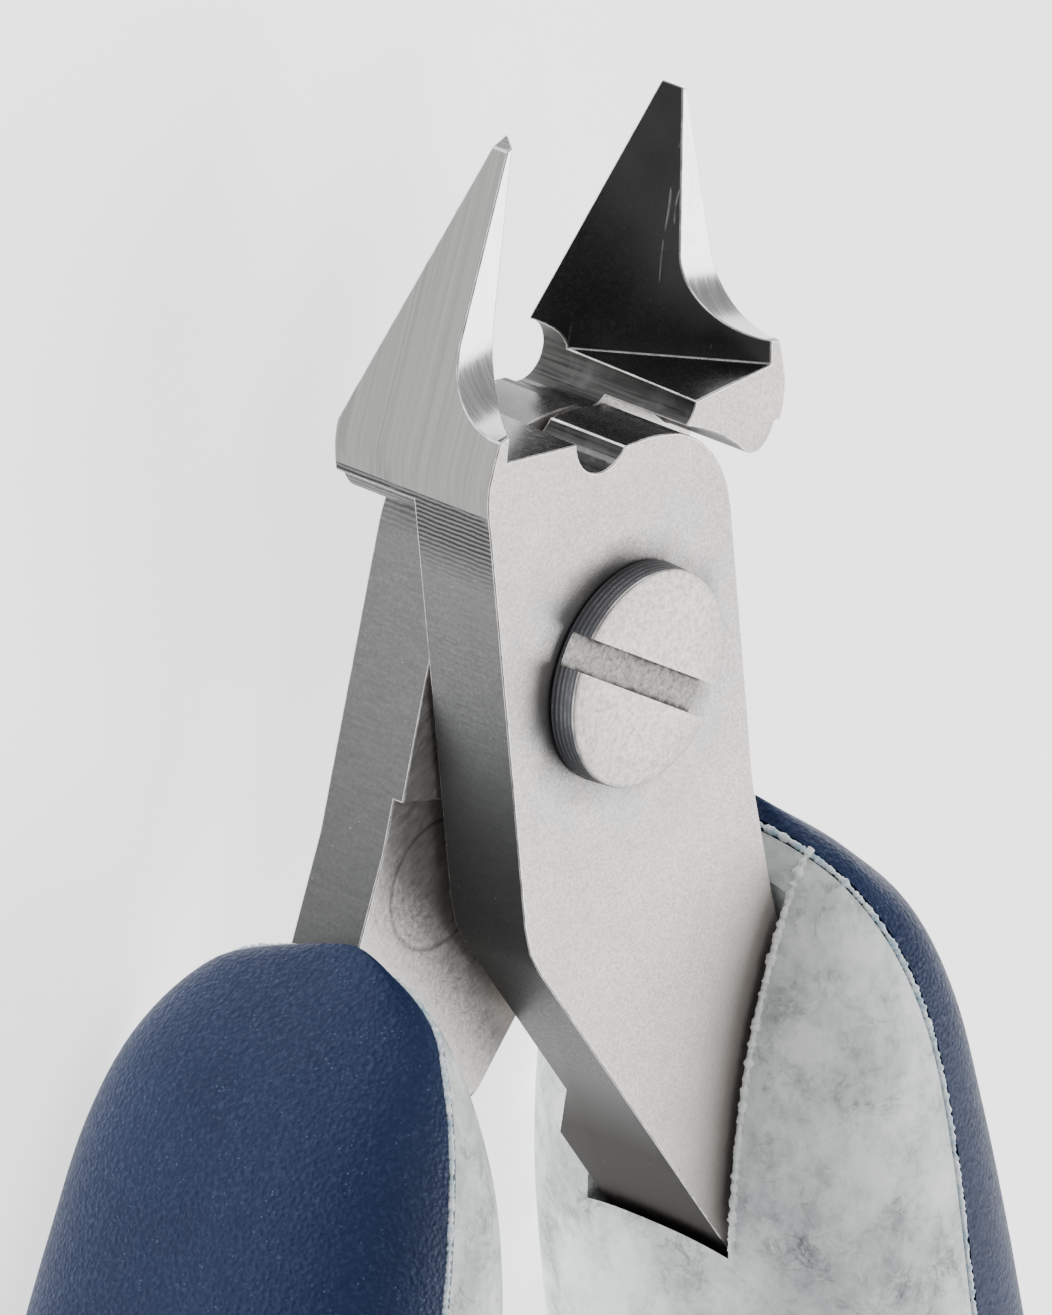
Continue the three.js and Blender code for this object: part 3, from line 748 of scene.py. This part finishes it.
def handle_body():
    """Core and grip together: a rounded section that follows the stations, flat underneath."""
    first, last = HANDLE_STATIONS[0, 0], HANDLE_STATIONS[-1, 0]
    t = (1 - np.cos(pi * np.arange(HANDLE_RINGS + 1) / HANDLE_RINGS)) / 2
    y = first + (last - first) * t
    inner, outer, front, back = station(y).T
    angle = 2 * pi * np.arange(HANDLE_SIDES) / HANDLE_SIDES
    def rounded(v):
        return np.sign(v) * np.abs(v) ** (2 / SQUARENESS)
    x = (inner + outer)[:, None] / 2 + (outer - inner)[:, None] / 2 * rounded(np.cos(angle))
    z = (front + back)[:, None] / 2 + (front - back)[:, None] / 2 * rounded(np.sin(angle))
    z = np.maximum(z, REST_FLAT_Z)
    points = np.stack([x, np.repeat(y[:, None], HANDLE_SIDES, 1), z], 2).reshape(-1, 3)
    faces = []
    for ring in range(HANDLE_RINGS):
        for i in range(HANDLE_SIDES):
            j = (i + 1) % HANDLE_SIDES
            a, b = ring * HANDLE_SIDES, (ring + 1) * HANDLE_SIDES
            faces.append((a + i, a + j, b + j, b + i))
    faces.append(tuple(range(HANDLE_SIDES))[::-1])
    faces.append(tuple(range(HANDLE_RINGS * HANDLE_SIDES, (HANDLE_RINGS + 1) * HANDLE_SIDES)))
    mesh = bpy.data.meshes.new("handle")
    mesh.from_pydata(points.tolist(), [], faces)
    bm = bmesh.new()
    bm.from_mesh(mesh)
    bmesh.ops.recalc_face_normals(bm, faces=bm.faces)
    bm.to_mesh(mesh)
    bm.free()
    return mesh


def spline(points, steps):
    """Evenly parametrised smooth curve through the points."""
    p = np.vstack([2 * points[0] - points[1], points, 2 * points[-1] - points[-2]])
    u = np.linspace(0, len(points) - 1, steps + 1)
    i = np.minimum(u.astype(int), len(points) - 2)
    t = (u - i)[:, None]
    a, b, c, d = p[i], p[i + 1], p[i + 2], p[i + 3]
    return 0.5 * (2 * b + (c - a) * t + (2 * a - 5 * b + 4 * c - d) * t ** 2
                  + (3 * b - a - 3 * c + d) * t ** 3)


def grip_region(offset):
    """Everything on the outer side of the grip line, moved outward by offset."""
    line = [(x + offset, y) for x, y in spline(GRIP_LINE, GRIP_STEPS)]
    top = 0
    corners = [(OUTWARD, GRIP_FOOT_Y), (OUTWARD, top), (GRIP_LINE[0, 0] + offset, top)]
    return prism([*line, *corners], BEHIND, BEFORE)


def tang_pocket(plate, tang, step):
    """Cutters for the slot that the plate and the tang fill."""
    inner = [(x - FIT_GAP, y) for x, y in TANG_INNER]
    outer = [(x + FIT_GAP, y) for x, y in TANG_OUTER]
    inner[-1] = (inner[-1][0], inner[-1][1] - FIT_GAP)
    outer[0] = (outer[0][0], outer[0][1] - FIT_GAP)
    x, y = CROTCH_END
    side = HEAD_HALF_WIDTH + FIT_GAP
    outline = [(TANG_SLOT_SIDE, TANG_SLOT_TOP), (TANG_SLOT_SIDE, TANG_SLOT_MOUTH),
               (x - TANG_SLOT_MOUTH_INSET, TANG_SLOT_MOUTH), (x - FIT_GAP, y - BELOW_CROTCH),
               *inner, *outer, (side, TANG_SLOT_SHOULDER), (side, TANG_SLOT_TOP)]
    return [prism(outline, plate[0] - FIT_GAP, plate[1] + FIT_GAP),
            prism(outline, tang[0] - FIT_GAP, tang[1] + FIT_GAP, step)]


def spring_pose(half_angle):
    """Where a pin lies with each half turned this far, and how far its arm leans."""
    x, y = SPRING_SEAT
    seat_x = x * cos(half_angle) - y * sin(half_angle)
    seat_y = x * sin(half_angle) + y * cos(half_angle)
    return seat_x, seat_y, asin(seat_x / ARM_LENGTH)


def spring_pocket():
    """Cutters for the arm's eye, its swing and its pin."""
    x, y = SPRING_SEAT
    def towards(angle, distance, start=(x, y)):
        return start[0] + distance * cos(angle), start[1] + distance * sin(angle)
    open_arm = -pi / 2 - spring_pose(HALF_OPEN)[2] - HALF_OPEN
    closed_arm = -pi / 2 - spring_pose(0)[2]
    upper = towards(open_arm - pi / 2, POCKET_RADIUS)
    lower = towards(closed_arm + pi / 2, SWING_EASE)
    low, high = MID_Z - POCKET_HALF_HEIGHT, MID_Z + POCKET_HALF_HEIGHT
    swing = [upper, towards(open_arm, SWING_REACH, upper),
             towards(closed_arm, SWING_REACH, lower), lower]
    return [prism(swing, low, high),
            prism(circle(POCKET_RADIUS, x, y, 48), low, high),
            prism(circle(PIN_RADIUS + FIT_GAP, x, y, 40), BEHIND, BEFORE)]


def surface_height(x, y, front):
    """Height of the handle's surface over a point, or None beyond its sides."""
    inner, outer, top, bottom = station(y)[0]
    across = abs((x - (inner + outer) / 2) / ((outer - inner) / 2))
    if across >= 1:
        return None
    lift = (top - bottom) / 2 * (1 - across ** SQUARENESS) ** (1 / SQUARENESS)
    return (top + bottom) / 2 + (lift if front else -lift)


def seam_path():
    """Closed path over the front of the handle and back underneath, along the grip line."""
    above, below = [], []
    for x, y in spline(GRIP_LINE, SEAM_STEPS):
        if not HANDLE_STATIONS[-1, 0] < y < HANDLE_STATIONS[0, 0]:
            continue
        high = surface_height(x, y, True)
        if high is not None:
            low = surface_height(x, y, False)
            above.append((x, y, min(high - SEAM_SINK, SEAM_TOP_Z)))
            below.append((x, y, max(low + SEAM_SINK, SEAM_BOTTOM_Z)))
    return above + below[::-1]


def lip_path(level):
    """Where the handle's inner side rises past the steel's front face, at this height."""
    path = []
    for y in np.linspace(*LIP_ENDS, LIP_STEPS):
        inner, outer, front, back = station(y)[0]
        up = abs((level - (front + back) / 2) / ((front - back) / 2))
        if up < 1:
            reach = (outer - inner) / 2 * (1 - up ** SQUARENESS) ** (1 / SQUARENESS)
            path.append(((inner + outer) / 2 - reach + LIP_SINK, y, level + LIP_RISE))
    return path


# ---- Pieces that follow a path: seam flash, lip flash and spring wire ----

def path_tree():
    """Tube along a path, its thickness rippled by a fixed noise."""
    tree = bpy.data.node_groups.new("tube_along_path", "GeometryNodeTree")
    sockets = {}
    for label, kind in (("Path", "Geometry"), ("Radius", "Float"), ("Sides", "Int"),
                        ("Ripple", "Float"), ("Ripple Size", "Float"), ("Finish", "Material")):
        made = tree.interface.new_socket(label, in_out="INPUT", socket_type=f"NodeSocket{kind}")
        sockets[label] = made.identifier
    tree.interface.new_socket("Mesh", in_out="OUTPUT", socket_type="NodeSocketGeometry")

    def node(kind, **settings):
        made = tree.nodes.new(kind)
        for key, value in settings.items():
            setattr(made, key, value)
        return made

    def join(source, target):
        tree.links.new(source, target)

    given = node("NodeGroupInput").outputs
    curve = node("GeometryNodeMeshToCurve")
    join(given["Path"], curve.inputs["Mesh"])
    noise = node("ShaderNodeTexNoise")
    noise.inputs["Detail"].default_value = 1.0
    inverse = node("ShaderNodeMath", operation="DIVIDE")
    inverse.inputs[0].default_value = 1.0
    join(given["Ripple Size"], inverse.inputs[1])
    join(inverse.outputs[0], noise.inputs["Scale"])
    join(node("GeometryNodeInputPosition").outputs[0], noise.inputs["Vector"])
    centred = node("ShaderNodeMath", operation="SUBTRACT")
    join(noise.outputs["Fac"], centred.inputs[0])
    centred.inputs[1].default_value = 0.5
    swell = node("ShaderNodeMath", operation="MULTIPLY_ADD")
    join(centred.outputs[0], swell.inputs[0])
    join(given["Ripple"], swell.inputs[1])
    swell.inputs[2].default_value = 1.0
    section = node("GeometryNodeCurvePrimitiveCircle")
    join(given["Radius"], section.inputs["Radius"])
    join(given["Sides"], section.inputs["Resolution"])
    tube = node("GeometryNodeCurveToMesh")
    join(curve.outputs[0], tube.inputs["Curve"])
    join(swell.outputs[0], tube.inputs["Scale"])
    join(section.outputs["Curve"], tube.inputs["Profile Curve"])
    tube.inputs["Fill Caps"].default_value = True
    shade = node("GeometryNodeSetShadeSmooth")
    join(tube.outputs[0], shade.inputs["Geometry"])
    real = node("GeometryNodeRealizeInstances")
    join(shade.outputs[0], real.inputs["Geometry"])
    finish = node("GeometryNodeSetMaterial")
    join(real.outputs[0], finish.inputs["Geometry"])
    join(given["Finish"], finish.inputs["Material"])
    join(finish.outputs[0], node("NodeGroupOutput").inputs["Mesh"])
    return tree, sockets


PATH_TREE, PATH_SOCKETS = path_tree()


def tube(name, path, finish, radius, sides, ripple=0.0, ripple_size=0.3, closed=False, place=None):
    """A tube along a path in millimetres, as a plain mesh."""
    count = len(path)
    edges = [(i, i + 1) for i in range(count - 1)] + ([(count - 1, 0)] if closed else [])
    mesh = bpy.data.meshes.new(name)
    mesh.from_pydata([tuple(p) for p in path], edges, [])
    mesh.transform(place or Matrix.Scale(MM, 4))
    piece = new_piece(name, mesh)
    modifier = piece.modifiers.new("tube", "NODES")
    modifier.node_group = PATH_TREE
    for label, value in (("Radius", radius * MM), ("Sides", sides), ("Ripple", ripple),
                         ("Ripple Size", ripple_size * MM), ("Finish", finish)):
        modifier[PATH_SOCKETS[label]] = value
    apply_modifiers(piece)
    bm = bmesh.new()
    bm.from_mesh(piece.data)
    bmesh.ops.remove_doubles(bm, verts=bm.verts, dist=1e-8)
    bmesh.ops.recalc_face_normals(bm, faces=bm.faces)
    bm.to_mesh(piece.data)
    bm.free()
    piece.data.set_sharp_from_angle(angle=radians(50))
    return piece


def spring_path(side):
    """An eye round the pin, a straight run, and this arm's turns of the coil."""
    seat_x, seat_y, lean = spring_pose(HALF_OPEN)
    along = np.array((-sin(lean), -cos(lean)))
    across = np.array((along[1], -along[0]))
    steps = []
    for t in np.linspace(0, 1, EYE_STEPS, endpoint=False):
        angle = pi / 2 + EYE_ARC * (1 - t)
        steps.append((EYE_RADIUS * cos(angle), EYE_RADIUS * sin(angle), 0))
    for t in np.linspace(0, 1, RUN_STEPS, endpoint=False):
        steps.append((ARM_LENGTH * t, EYE_RADIUS + (COIL_RADIUS - EYE_RADIUS) * t, 0))
    for turn in np.linspace(0, COIL_TURNS, COIL_STEPS):
        angle = pi / 2 - 2 * pi * turn
        steps.append((ARM_LENGTH + COIL_RADIUS * cos(angle), COIL_RADIUS * sin(angle), COIL_PITCH * turn))
    path = []
    for u, v, rise in steps:
        x, y = np.array((seat_x, seat_y)) + along * u + across * v
        path.append((side * x, y, MID_Z + side * (ARM_HEIGHT + rise)))
    return path


def handle_pieces(whole, grip_mesh, side, word, body, plate, tang, step):
    """One handle's core, grip and flash, riding on its half."""
    core = boolean(whole.copy(), "DIFFERENCE",
                   [grip_region(-FIT_GAP / 2), *tang_pocket(plate, tang, step), *spring_pocket()])
    grip = grip_mesh.copy()
    for mesh, name, finish, node, slot in (
            (core, f"{word}_core_moulding", VEINED, f"{word}_handle_core", "grey_plastic"),
            (grip, f"{word}_grip_cover", NAVY, f"{word}_handle_grip", "blue_rubber")):
        settle(mesh, side)
        mesh.materials.clear()
        piece = new_piece(name, mesh, finish)
        mesh.polygons.foreach_set("material_index", [0] * len(mesh.polygons))
        smooth(mesh, 40)
        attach(piece, body)
        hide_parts(node)
    seam = tube(f"{word}_seam_flash", seam_path(), SEAM, **SEAM_FLASH, closed=True, place=to_tool(side))
    lip = tube(f"{word}_lip_flash", lip_path(plate[1] + FIT_GAP), LIP, **LIP_FLASH, place=to_tool(side))
    for piece, slot in ((seam, "blue_rubber"), (lip, "grey_plastic")):
        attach(piece, body)


# ---- Assembly ----

steel_half("front_half", "front_half_steel", "front", 1)
steel_half("rear_half", "rear_half_steel", "rear", -1)
pivot_screw()

whole_handle = handle_body()
grip_blank = boolean(whole_handle.copy(), "INTERSECT", [grip_region(FIT_GAP / 2)])
front_step = (STEP_START - FIT_GAP * STEP_NORMAL, STEP_NORMAL)
rear_step = (Vector((0, REAR_STEP_Y, REAR_PLATE[1])), Vector((0, -1, -REAR_STEP_SLANT)))
handle_pieces(whole_handle, grip_blank, 1, "right", "front", FRONT_PLATE, FRONT_TANG, front_step)
handle_pieces(whole_handle, grip_blank, -1, "left", "rear", REAR_PLATE, REAR_TANG, rear_step)

for side, word in ((1, "right"), (-1, "left")):
    wire = tube(f"{word}_spring_wire", spring_path(side), WIRE, WIRE_RADIUS, 20)
    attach(wire, f"{word}_arm")
    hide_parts(f"{word}_spring_arm")
    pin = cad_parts[f"{word}_spring_pin"]
    pin.data.materials.clear()
    pin.data.materials.append(WIRE)

# ---- Floor, light and camera ----

floor_z = cad_low.z - 0.02 * MM
reach = 4
corners = [(x, y, floor_z) for x, y in ((-reach, -reach), (reach, -reach), (reach, reach), (-reach, reach))]
floor_mesh = bpy.data.meshes.new("floor")
floor_mesh.from_pydata(corners, [], [(0, 1, 2, 3)])
new_piece("floor", floor_mesh, pale_floor())

world = bpy.data.worlds.new("studio")
bpy.context.scene.world = world
world.use_nodes = True
sky = world.node_tree.nodes["Background"]
sky.inputs["Color"].default_value = (1, 1, 1, 1)
sky.inputs["Strength"].default_value = 0.42


def softbox(name, place, aim, size, watts):
    data = bpy.data.lights.new(name, "AREA")
    data.shape = "RECTANGLE"
    data.size, data.size_y = size
    data.energy = watts
    lamp = bpy.data.objects.new(name, data)
    bpy.context.scene.collection.objects.link(lamp)
    lamp.location = place
    lamp.rotation_euler = (Vector(aim) - Vector(place)).to_track_quat("-Z", "Y").to_euler()


softbox("key", (0.55, -0.25, 0.48), (0, -0.01, 0), (0.62, 0.62), 7)
softbox("top", (-0.1, 0.35, 0.8), (0, -0.02, 0), (0.5, 0.5), 3)

camera_data = bpy.data.cameras.new("camera")
camera_data.sensor_width = 36
camera_data.lens = 439.47
camera_data.clip_start = 0.01
camera_data.clip_end = 20
camera = bpy.data.objects.new("camera", camera_data)
bpy.context.scene.collection.objects.link(camera)
right = Vector((0.6616, 0.0549, 0.7478))
up = Vector((0.2550, 0.9214, -0.2933))
back = Vector((-0.7051, 0.3847, 0.5956))
eye = Vector((-0.33236, 0.18052, 0.28295))
camera.matrix_world = Matrix.Translation(eye) @ Matrix((right, up, back)).transposed().to_4x4()
bpy.context.scene.camera = camera
